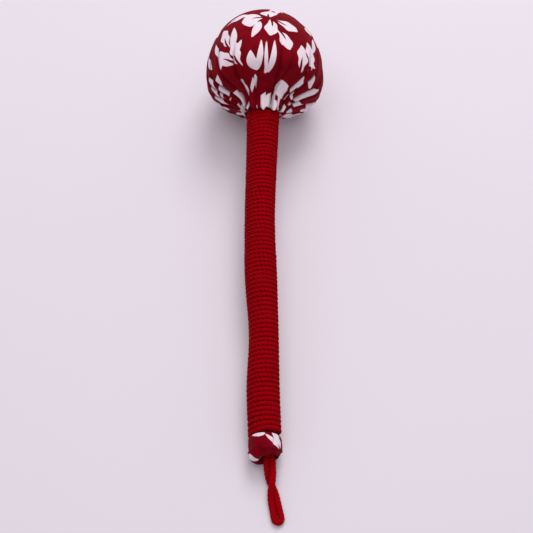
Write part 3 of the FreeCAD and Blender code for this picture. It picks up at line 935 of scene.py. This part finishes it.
def make_ball():
    radius, down, length = ball_profile(BALL_ROWS)
    front_row = length / BALL_RADIUS
    columns = np.arange(BALL_COLUMNS) * TURN / BALL_COLUMNS
    front, around = np.meshgrid(front_row, columns, indexing="ij")
    radii = np.repeat(radius[:, None], BALL_COLUMNS, axis=1)
    side = wander(WINDING_START) * ease(down, CONE[0][0], WINDING_START)[:, None]
    base = np.stack([radii * np.cos(around) + side, np.repeat(-down[:, None], BALL_COLUMNS, axis=1),
                     radii * np.sin(around)], axis=-1)
    fold_height, fold_shift, crease = long_folds(front, around, radii)
    gather_height, gather_shift = gathers(front, around)
    height = np.maximum(fold_height + gather_height + ball_noise(front, around), -DEEPEST_MM)
    grid = base + surface_normals(base) * height[..., None]
    sag, swell = overhang(length[:, None], around, length[np.searchsorted(down, CONE[0][0])])
    grid[..., 0] += swell * np.cos(around)
    grid[..., 1] -= sag
    grid[..., 2] += swell * np.sin(around)
    shown = print_on_ball(front, around + fold_shift + gather_shift)

    points = to_row(grid.reshape(-1, 3))
    points[:, 2] = np.maximum(points[:, 2], LOWEST_MM)
    tip = to_row(np.array([[0.0, -down[0], 0.0]]))
    rest = points[BALL_COLUMNS:]
    faces = grid_faces(BALL_ROWS - 1, BALL_COLUMNS)
    tip_index = len(rest)
    ring = np.arange(BALL_COLUMNS)
    fan = np.stack([ring, np.roll(ring, -1), np.full(BALL_COLUMNS, tip_index)], axis=-1)
    obj = new_object("head_cover_cloth", np.concatenate([rest, tip]), faces, fan[:, ::-1], flip=True)
    shown = np.append(shown.ravel()[BALL_COLUMNS:], shown[1].mean())
    point_attribute(obj, "print", shown)
    point_attribute(obj, "crease", np.append(crease.ravel()[BALL_COLUMNS:], 0))
    flat = np.stack([around * BALL_RADIUS, np.repeat(length[:, None], BALL_COLUMNS, axis=1),
                     np.zeros_like(around)], axis=-1).reshape(-1, 3)
    point_attribute(obj, "cloth", np.concatenate([flat[BALL_COLUMNS:], [[0, 0, 0]]]))
    obj.data.materials.append(COTTON)
    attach(obj, "hammer")
    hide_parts("head_cover")
    return obj


make_ball()


# -------------------------------------------------------------------------------------------- the stub
STUB_ROWS, STUB_COLUMNS = 110, 220
# The stub's outline: (distance past the winding's end, radius, how far its middle has moved to the mouth's).
STUB_OUTLINE = [
    (-4.6, 7.45, 0.0), (-2.5, 7.55, 0.0), (-2.0, 8.9, 0.0), (-1.2, 9.9, 0.0), (2.0, 10.5, 0.0),
    (6.5, 10.7, 0.0), (10.0, 10.5, 0.05), (12.4, 9.8, 0.15), (13.8, 9.0, 0.3), (14.4, 8.0, 0.6),
    (14.2, 7.1, 0.9), (13.0, 6.6, 1.0),
    (10.5, 6.2, 1.0), (8.5, 6.0, 1.0), (7.4, 5.6, 1.0), (6.9, 4.0, 1.0), (6.8, 0.4, 1.0),
]
STUB_START, STUB_LIP, STUB_INSIDE = 2, 9, 12     # places in the outline: cloth in sight, lip, inner wall
MOUTH_MIDDLE_MM = (2.2, -1.5)
STUB_RADIUS = 10.5              # at which the print is drawn
SLANT_MM = 5.2                  # how much shorter the stub is on its right than on its left


# Shape, root and tip as (mm to the right of the top, mm past the winding), width, bend.
STUB_FIGURES = [
    (leaf, (0.3, 1.7), (-9.5, 1.9), 4.2, 0.4), (leaf, (0.4, 2.4), (11.2, 11.5), 2.6, -0.4),
    (leaf, (5.6, -1.2), (12.8, 9.4), 5.2, 0.5), (leaf, (-19.0, 3.5), (-14.0, 11.0), 4.0, 0.8),
    (leaf, (-13.8, 13.0), (-10.0, 20.0), 4.8, 0.6), (leaf, (-12.5, 19.6), (-1.5, 20.2), 3.2, 0.3),
    (fringe, (24.0, 12.0), (20.0, 1.0), 8.0, 0.6), (fringe, (-28.0, 3.0), (-23.0, 13.0), 8.0, 0.6),
    (leaf, (30.0, 3.0), (27.0, 13.0), 5.0, 0.8),
]


# Angle round the stub, lean in degrees, where the fold starts past the winding, depth and width in mm.
STUB_FOLDS = [
    (52, 10, 0.5, 0.7, 0.9), (118, -6, 6.0, 0.5, 1.2), (-20, 0, 0.0, 0.9, 1.0), (200, 8, 2.0, 0.8, 1.1),
    (250, 0, 1.0, 0.7, 1.0), (300, -8, 3.0, 0.8, 1.0), (155, 4, 8.0, 0.6, 0.9),
]


def stub_print(across, past):
    """Distance in mm to the nearest figure's edge on the stub."""
    found = np.full(across.shape, NO_FIGURE_MM)
    for shape, root, tip, width, bend in STUB_FIGURES:
        right, down = tip[0] - root[0], tip[1] - root[1]
        turn = math.degrees(math.atan2(-right, -down))
        x, y = turned(across - root[0], root[1] - past, turn)
        found = np.minimum(found, shape(x, y, math.hypot(right, down), width, bend))
    return found


def make_stub():
    outline = np.array(STUB_OUTLINE)
    length = np.concatenate([[0], np.cumsum(np.hypot(np.diff(outline[:, 0]), np.diff(outline[:, 1])))])
    even = np.linspace(0, length[-1], STUB_ROWS)
    past, radius, moved = [smooth_between(even, length, outline[:, k]) for k in range(3)]
    around = np.arange(STUB_COLUMNS) * TURN / STUB_COLUMNS
    past, around = np.meshgrid(past, around, indexing="ij")
    radius = np.repeat(radius[:, None], STUB_COLUMNS, axis=1)
    moved = np.repeat(moved[:, None], STUB_COLUMNS, axis=1)
    reached = np.repeat(even[:, None], STUB_COLUMNS, axis=1)
    inner = ease(reached, length[STUB_LIP], length[STUB_INSIDE])
    rightness = 0.5 + 0.5 * np.cos(around - math.radians(15))
    past_here = past - SLANT_MM * rightness * ease(past, 7.0, 13.5) * (1 - inner)
    folds = np.zeros_like(radius)
    for at, lean, start, depth, wide in STUB_FOLDS:
        line = math.radians(at) + math.radians(lean) * past / 12
        gap = angle_gap(around, line) * 10
        grown = ease(past, start, start + 4) * (1 - inner)
        folds += depth * grown * (0.4 * np.exp(-((gap - 2.0) / 1.5) ** 2) - np.exp(-(gap / wide) ** 2))
    gather = 0.22 * np.sin(19 * around + 1.3 * np.sin(3 * around)) * (1 - ease(past, 0.5, 3.5))
    gather = gather * ease(past, -0.3, 0.6)
    lumps = 0.18 * np.sin(3 * around + past * 0.5) + 0.12 * np.sin(5 * around - past * 0.7 + 2)
    radius = radius + folds + gather + lumps * ease(past, 0.5, 4) * (1 - inner)
    grid = np.stack([radius * np.cos(around) + moved * MOUTH_MIDDLE_MM[0],
                     -(WINDING_END + past_here),
                     radius * np.sin(around) + moved * MOUTH_MIDDLE_MM[1]], axis=-1)
    points = to_row(grid.reshape(-1, 3))
    points[:, 2] = np.maximum(points[:, 2], 0.03)
    middle = to_row(grid[-1].mean(0))[None]
    faces = grid_faces(STUB_ROWS, STUB_COLUMNS)
    ring = np.arange(STUB_COLUMNS) + (STUB_ROWS - 1) * STUB_COLUMNS
    fan = np.stack([np.roll(ring, -1), ring, np.full(STUB_COLUMNS, len(points))], axis=-1)
    obj = new_object("handle_cover_cloth", np.concatenate([points, middle]), faces, fan[:, ::-1], flip=True)
    across = -angle_gap(around, math.pi / 2) * STUB_RADIUS
    flat_down = reached - length[STUB_START]
    shown = stub_print(across, flat_down) + 3.0 * inner
    point_attribute(obj, "print", np.append(shown.ravel(), 5.0))
    flat = np.stack([around * STUB_RADIUS, flat_down, np.zeros_like(across)], axis=-1).reshape(-1, 3)
    point_attribute(obj, "cloth", np.concatenate([flat, [[0, 0, 0]]]))
    obj.data.materials.append(COTTON)
    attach(obj, "hammer")
    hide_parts("handle_cover")
    return obj


make_stub()
